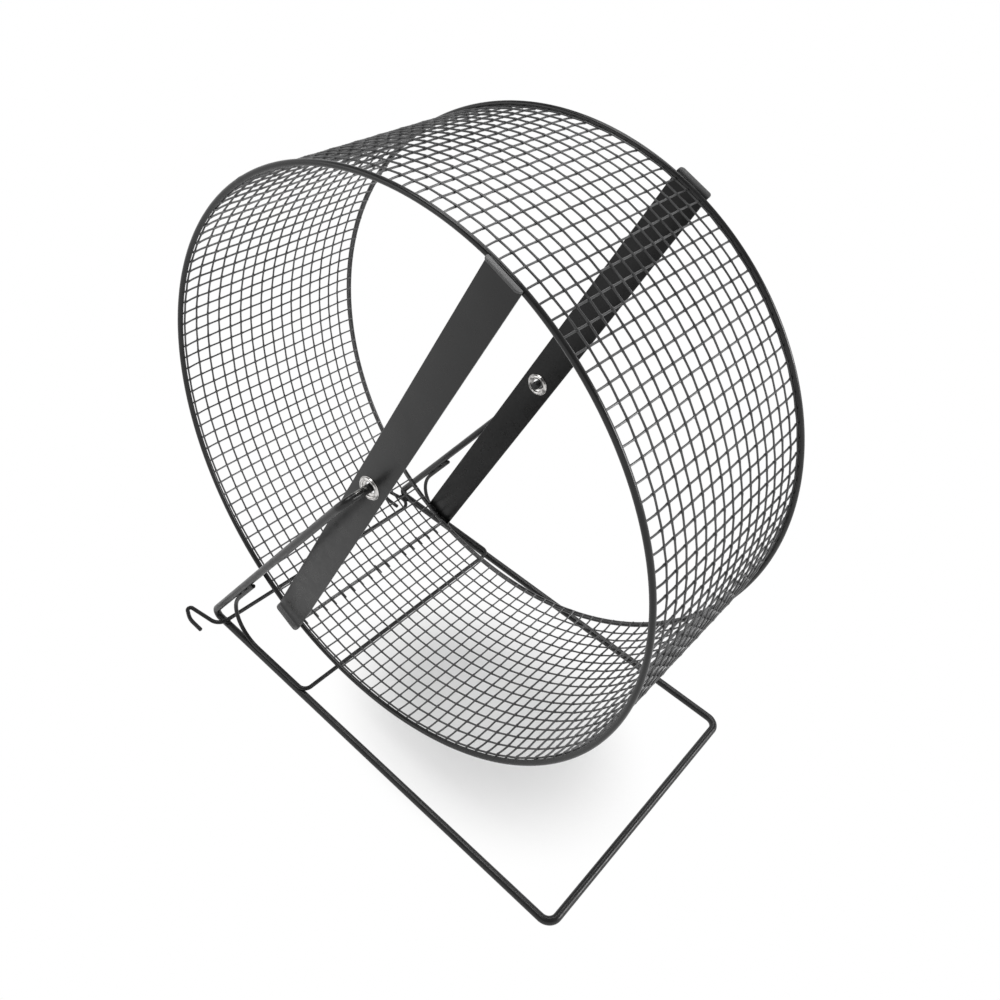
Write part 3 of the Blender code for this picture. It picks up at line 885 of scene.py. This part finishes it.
class WHEEL_OT_eyelets(Operator):
    """Turn the two rolled eyelets"""

    bl_idname = "running_wheel.eyelets"
    bl_label = "Eyelets"

    def execute(self, context):
        wheel = context.scene.wheel_sizes
        finish = context.scene.wheel_finishes
        plating = plated("bright nickel plating", finish.nickel)
        offset = bar_offset(wheel)
        profile = self.profile(wheel)
        steps = 96
        angles = TURN * np.arange(steps)[:, None] / steps
        # The faces rise and dip round the ring, more toward its edge
        spread = (profile[None, :, 0] - wheel.bore / 2.0) / (wheel.eyelet / 2.0)
        for end, side in (("front", -1.0), ("rear", 1.0)):
            grid = turned(profile + np.array([0.0, side * offset]), steps)
            dents = spread * (0.10 * np.sin(3.0 * angles + side) + 0.07 * np.sin(7.0 * angles))
            grid = grid + (np.sign(profile[None, :, 1]) * dents * MM)[..., None] * ACROSS
            piece = make_piece(end + "_eyelet_ring", [(grid, True)], plating)
            settle(piece, "wheel", "nickel", end + "_eyelet")
        return {"FINISHED"}

    def profile(self, wheel):
        """Return the section, anticlockwise: a barrel, and on each side a rolled ring and a washer.

        The ring is an arc of an ellipse, (c + a cos t, h + b sin t). The washer's edge is an arc of
        a circle.
        """
        bore = wheel.bore / 2.0
        rim = wheel.eyelet / 2.0
        seat = wheel.bar_thickness / 2.0 + SEAT_GAP
        face = wheel.bar_thickness / 2.0 + wheel.eyelet_height
        roll = 0.80 * MM
        crown = 0.75 * MM
        middle = rim - 0.30 * MM - roll
        arc = np.linspace(math.pi, math.radians(15.0), 14)
        edge = 0.17 * MM
        half = np.linspace(math.radians(110.0), -QUARTER, 7)
        radii = [np.array([bore, bore, bore + 0.10 * MM]),
                 middle + roll * np.cos(arc),
                 rim - edge + edge * np.cos(half),
                 np.array([bore + 0.5 * MM])]
        heights = [np.array([0.1 * MM, seat, face - crown - 0.25 * MM]),
                   face - crown + crown * np.sin(arc),
                   seat + edge + edge * np.sin(half),
                   np.array([seat])]
        upper = np.stack([np.concatenate(radii), np.concatenate(heights)], axis=1)
        lower = upper * np.array([1.0, -1.0])
        return np.concatenate([lower, upper[::-1]])


class WHEEL_OT_woven_mesh(Operator):
    """Lay the drum's cross wires, its hoops and the seam of its mesh"""

    bl_idname = "running_wheel.woven_mesh"
    bl_label = "Woven Mesh"

    stations = (0.0, 0.08, 0.18, 0.5, 0.82, 0.92)
    sides = 6

    def execute(self, context):
        wheel = context.scene.wheel_sizes
        finish = context.scene.wheel_finishes
        coat = coated("coated mesh wire", finish.mesh, peel=2600.0, smooth=0.32, rough=0.44,
                      gloss=0.60)
        hoops = len(HOOP_NODES) + 2
        patches = [(self.cross_wires(wheel, hoops), False)]
        patches += [(self.hoop(wheel, hoops, number), True) for number in (0, hoops - 1)]
        piece = make_piece("mesh_cross_wires_round", patches, coat)
        settle(piece, "wheel", "mesh_wire", "mesh_cross_wires")
        for number, node in enumerate(HOOP_NODES, start=1):
            hoop = self.hoop(wheel, hoops, number)
            piece = make_piece("mesh_hoop_%02d_round" % number, [(hoop, True)], coat)
            settle(piece, "wheel", "mesh_wire", node)
        self.seam(wheel, hoops, coat)
        return {"FINISHED"}

    def cells(self, count):
        """Return places along a wire, in cells: at and near its crossings and midway between."""
        return (np.arange(count)[:, None] + np.array(self.stations)).ravel()

    def drum_line(self, wheel, hoops, cells):
        """Return the drum's radius and the place across it at a count of cells.

        With b the share of the last cell passed, the radius sinks by b squared and the cell widens
        by b. Past the edge hoop the wires rise again to meet the rim.
        """
        middle = (hoops - 1) / 2.0
        aside = cells - middle
        passed = np.clip(np.abs(aside) - middle + 1.0, 0.0, None)
        down, front, rear = wheel.edge_seat
        tuck = rim_offset(wheel) - np.where(aside < 0.0, front, rear) - wheel.edge
        across = aside / middle * wheel.edge + np.sign(aside) * passed * tuck
        share = np.clip(passed, 0.0, 1.0) ** 2 - 1.6 * np.clip(passed - 1.0, 0.0, None)
        depth = wheel.sink + (down - wheel.sink) * share
        return rim_radius(wheel) - depth, across

    def thickness(self, wheel, away):
        """Return the wire's radius, thickened by pooled coating: r (1 + k exp(-(d / w)^2))."""
        pooled = np.exp(-(away / (0.85 * wheel.mesh_wire)) ** 2)
        return wheel.mesh_wire / 2.0 * (1.0 + wheel.knot * pooled)

    def cross_wires(self, wheel, hoops):
        """Lay the cross wires: wire i swings by a cos(pi (y + i)) at y cells.

        It strays by slow sines. Its ends reach past the edge hoops to the rims.
        """
        pitch = 2.0 * wheel.edge / (hoops - 1)
        number = np.arange(wheel.cross_wires)[:, None]
        stub = 0.19
        last = hoops - 1.0
        cells = np.concatenate([[-stub], self.cells(hoops - 1), [last, last + stub]])[None, :]
        radius, along = self.drum_line(wheel, hoops, cells)
        swing = wheel.weave * np.cos(math.pi * (cells + number)) - wheel.lay / 2.0
        stray = np.sin(1.9 * number) * np.cos(math.pi * cells / last)
        stray = stray + 0.5 * np.sin(0.7 * cells + number)
        angles = wheel.seam_angle + TURN * number / wheel.cross_wires
        angles = angles + wheel.drift * stray * (number > 0) / rim_radius(wheel)
        outward = radial(angles)
        points = HUB + (radius + swing)[..., None] * outward + along[..., None] * ACROSS
        frames = axes(np.broadcast_to(ACROSS, outward.shape), np.cross(ACROSS, outward))
        radii = self.thickness(wheel, np.abs(cells - np.round(cells)) * pitch)
        return tube(points, frames, radii, self.sides)

    def hoop(self, wheel, hoops, number):
        """Lay one hoop outside the cross wires: hoop i swings by -a cos(pi (x + i)) at x cells.

        It strays by slow sines, apart from the two edge hoops.
        """
        radius, across = self.drum_line(wheel, hoops, float(number))
        cells = self.cells(wheel.cross_wires)
        turn = TURN * cells / wheel.cross_wires
        swing = wheel.lay / 2.0 - wheel.weave * np.cos(math.pi * (cells + number))
        outward = radial(wheel.seam_angle + turn)
        stray = np.sin(3.0 * turn + 1.3 * number) + 0.5 * np.sin(11.0 * turn + 2.1 * number)
        aside = across + wheel.drift * stray * (0 < number < hoops - 1)
        points = HUB + (radius + swing)[:, None] * outward + aside[:, None] * ACROSS
        frames = axes(np.cross(outward, ACROSS), outward)
        away = np.abs(cells - np.round(cells)) * TURN * rim_radius(wheel) / wheel.cross_wires
        return tube(points, frames, self.thickness(wheel, away), self.sides)

    def seam(self, wheel, hoops, coat):
        """Lay the mesh sheet's end wire beside the first cross wire, and the hoops' tails past it.

        A tail is an arc that dips below its hoop by d cos u and leans along the end wire.
        """
        sides = 8
        cut_edge = 0.2 * MM
        turn = wheel.mesh_wire * 1.15 / rim_radius(wheel)
        outward = radial(np.array(wheel.seam_angle - turn))
        stub = 0.06
        cells = np.linspace(-stub, hoops - 1.0 + stub, (hoops - 1) * 4 + 1)
        radius, along = self.drum_line(wheel, hoops, cells)
        swing = wheel.weave * np.cos(math.pi * cells) - wheel.lay / 2.0
        points = HUB + (radius + swing)[:, None] * outward + along[:, None] * ACROSS
        frames = np.repeat(axes(ACROSS, outward)[None], len(along), axis=0)
        line, bases, radii = rounded_ends(points, frames, wheel.mesh_wire * 0.60, cut_edge, 3)
        patches = [(tube(line, bases, radii, sides), False)]
        steps = 15
        outward = radial(wheel.seam_angle + np.linspace(-2.4 * turn, 3.6 * turn, steps))
        frames = axes(np.cross(outward, ACROSS), outward)
        lean = np.linspace(-1.0, 1.0, steps)
        for number in range(hoops):
            dip = wheel.mesh_wire * (0.95 + 0.10 * math.sin(2.4 * number)) * np.cos(lean * 0.9)
            drift = wheel.mesh_wire * (0.30 * math.sin(1.7 * number) + 0.25 * lean)
            radius, across = self.drum_line(wheel, hoops, float(number))
            points = HUB + (radius - dip)[:, None] * outward + (across + drift)[:, None] * ACROSS
            line, bases, radii = rounded_ends(points, frames, wheel.mesh_wire / 2.0, cut_edge, 3)
            patches.append((tube(line, bases, radii, sides), False))
        piece = make_piece("mesh_seam_wires", patches, coat)
        settle(piece, "wheel", "mesh_wire", "mesh_seam")


class WHEEL_OT_stage(Operator):
    """Lay the floor, hang the lamps and set the camera"""

    bl_idname = "running_wheel.stage"
    bl_label = "Stage"

    def execute(self, context):
        look = context.scene.stage_look
        scene = context.scene
        scene.view_settings.view_transform = "Standard"
        self.floor(look)
        self.world(scene, look)
        for name, place, size, power in (
                ("overhead softbox", (-0.35, -0.10, 1.35), (0.6, 0.6), look.key_power),
                ("back softbox", (-0.25, 0.70, 1.20), (0.7, 0.5), look.back_power),
                ("back right softbox", (1.00, 0.60, 0.62), (0.5, 0.5), look.side_power),
                ("front left softbox", (-0.80, -0.90, 0.55), (0.7, 0.7), look.fill_power)):
            self.lamp(name, place, size, power)
        camera = bpy.data.objects.new("camera", bpy.data.cameras.new("camera"))
        scene.collection.objects.link(camera)
        camera.location = look.eye
        camera.rotation_euler = look.aim
        camera.data.lens = look.lens
        camera.data.sensor_width = 36.0
        camera.data.shift_x, camera.data.shift_y = look.shift
        camera.data.clip_start = 0.01
        scene.camera = camera
        return {"FINISHED"}

    def seen(self, tree):
        """Return 1 for the rays of the camera, of gloss and of glass, and 0 for the rest."""
        path = tree.nodes.new("ShaderNodeLightPath")
        share = path.outputs["Is Camera Ray"]
        for kind in ("Is Glossy Ray", "Is Transmission Ray"):
            share = calculate(tree, "MAXIMUM", share, path.outputs[kind])
        return share

    def floor(self, look):
        """Lay a pale floor that keeps the drum's shadow and runs out to white for the camera.

        The white sets in with the distance from a spot under the drum, on its +X side. Distances
        across count a quarter more. Inside that spot the floor is darker for the camera even where
        no lamp is blocked: a painted shadow, laid over the lamps' own shadow.
        """
        mesh = bpy.data.meshes.new("floor")
        reach = 6.0
        mesh.from_pydata([(-reach, -reach, 0.0), (reach, -reach, 0.0), (reach, reach, 0.0),
                          (-reach, reach, 0.0)], [], [(0, 1, 2, 3)])
        floor = bpy.data.objects.new("floor", mesh)
        bpy.context.scene.collection.objects.link(floor)
        floor.location.z = -0.0001
        material, tree, shader = new_material("pale floor")
        seen = self.seen(tree)
        feed_named(tree, shader, Base_Color=tinted(look.floor, 1.0), Roughness=0.9,
                   Specular_IOR_Level=0.0, Emission_Color=(1.0, 1.0, 1.0, 1.0),
                   Emission_Strength=calculate(tree, "MULTIPLY", seen, look.floor_lift))
        white = add_node(tree, "ShaderNodeEmission")
        # Painted shadow: near this spot the floor keeps only its lift and is darker; away from it
        # the floor is plain white for the camera.
        length = add_node(tree, "ShaderNodeVectorMath", operation="DISTANCE")
        feed(tree, length.inputs[0], stretched(tree, object_place(tree), (1.0, 1.25, 1.0)))
        feed(tree, length.inputs[1], (0.044, -0.004, 0.0))
        far = remap(tree, length.outputs["Value"], 0.03, 0.085, 0.0, 1.0)
        mix = add_node(tree, "ShaderNodeMixShader")
        feed(tree, mix.inputs[0], calculate(tree, "MULTIPLY", far, seen))
        feed(tree, mix.inputs[1], shader.outputs["BSDF"])
        feed(tree, mix.inputs[2], white.outputs["Emission"])
        feed_named(tree, tree.nodes["Material Output"], Surface=mix.outputs["Shader"])
        mesh.materials.append(material)

    def world(self, scene, look):
        """Light softly from all round, with a white wall for gloss and a white background."""
        world = bpy.data.worlds.new("studio")
        scene.world = world
        world.use_nodes = True
        tree = world.node_tree
        split = tree.nodes.new("ShaderNodeSeparateXYZ")
        feed_named(tree, split, Vector=tree.nodes.new("ShaderNodeTexCoord").outputs["Generated"])
        wall = remap(tree, split.outputs["Z"], 0.25, 0.55, 1.0, look.room)
        wall = calculate(tree, "MULTIPLY", wall, self.seen(tree))
        camera = tree.nodes.new("ShaderNodeLightPath").outputs["Is Camera Ray"]
        light = calculate(tree, "MAXIMUM", calculate(tree, "MAXIMUM", wall, camera), look.room)
        feed_named(tree, tree.nodes["Background"], Strength=light, Color=(1.0, 1.0, 1.0, 1.0))

    def lamp(self, name, place, size, power):
        """Hang a softbox that faces the hub."""
        data = bpy.data.lights.new(name, "AREA")
        data.shape = "RECTANGLE"
        data.size, data.size_y = size
        data.energy = power
        lamp = bpy.data.objects.new(name, data)
        bpy.context.scene.collection.objects.link(lamp)
        lamp.location = place
        aim = HUB - np.array(place)
        turn = math.atan2(aim[0], -aim[1])
        tilt = math.atan2(math.hypot(aim[0], aim[1]), -aim[2])
        lamp.rotation_euler = (tilt, 0.0, turn + math.pi)


class WHEEL_PT_panel(Panel):
    """Sidebar panel with the sizes, the finishes and a button for each piece"""

    bl_label = "Running Wheel"
    bl_space_type = "VIEW_3D"
    bl_region_type = "UI"
    bl_category = "Running Wheel"

    def draw(self, context):
        scene = context.scene
        for group in (scene.stand_sizes, scene.wheel_sizes, scene.wheel_finishes, scene.stage_look):
            box = self.layout.box()
            for name in group.__annotations__:
                box.prop(group, name)
        for operator in OPERATORS:
            self.layout.operator(operator.bl_idname)


GROUPS = {"stand_sizes": StandSizes, "wheel_sizes": WheelSizes, "wheel_finishes": Finishes,
          "stage_look": StageLook}
OPERATORS = (WHEEL_OT_stand_frame, WHEEL_OT_thin_wires, WHEEL_OT_rims, WHEEL_OT_crossbars,
             WHEEL_OT_eyelets, WHEEL_OT_woven_mesh, WHEEL_OT_stage)


def register():
    """Register the classes and hang the property groups on the scene."""
    for group in GROUPS.values():
        bpy.utils.register_class(group)
    for name, group in GROUPS.items():
        setattr(bpy.types.Scene, name, PointerProperty(type=group))
    for operator in OPERATORS:
        bpy.utils.register_class(operator)
    bpy.utils.register_class(WHEEL_PT_panel)


def unregister():
    """Take everything that register added away again."""
    bpy.utils.unregister_class(WHEEL_PT_panel)
    for operator in reversed(OPERATORS):
        bpy.utils.unregister_class(operator)
    for name in GROUPS:
        delattr(bpy.types.Scene, name)
    for group in reversed(list(GROUPS.values())):
        bpy.utils.unregister_class(group)


def main():
    """Build every piece and the stage."""
    register()
    bpy.ops.running_wheel.stand_frame()
    bpy.ops.running_wheel.thin_wires()
    bpy.ops.running_wheel.rims()
    bpy.ops.running_wheel.crossbars()
    bpy.ops.running_wheel.eyelets()
    bpy.ops.running_wheel.woven_mesh()
    bpy.ops.running_wheel.stage()


if __name__ == "__main__":
    main()
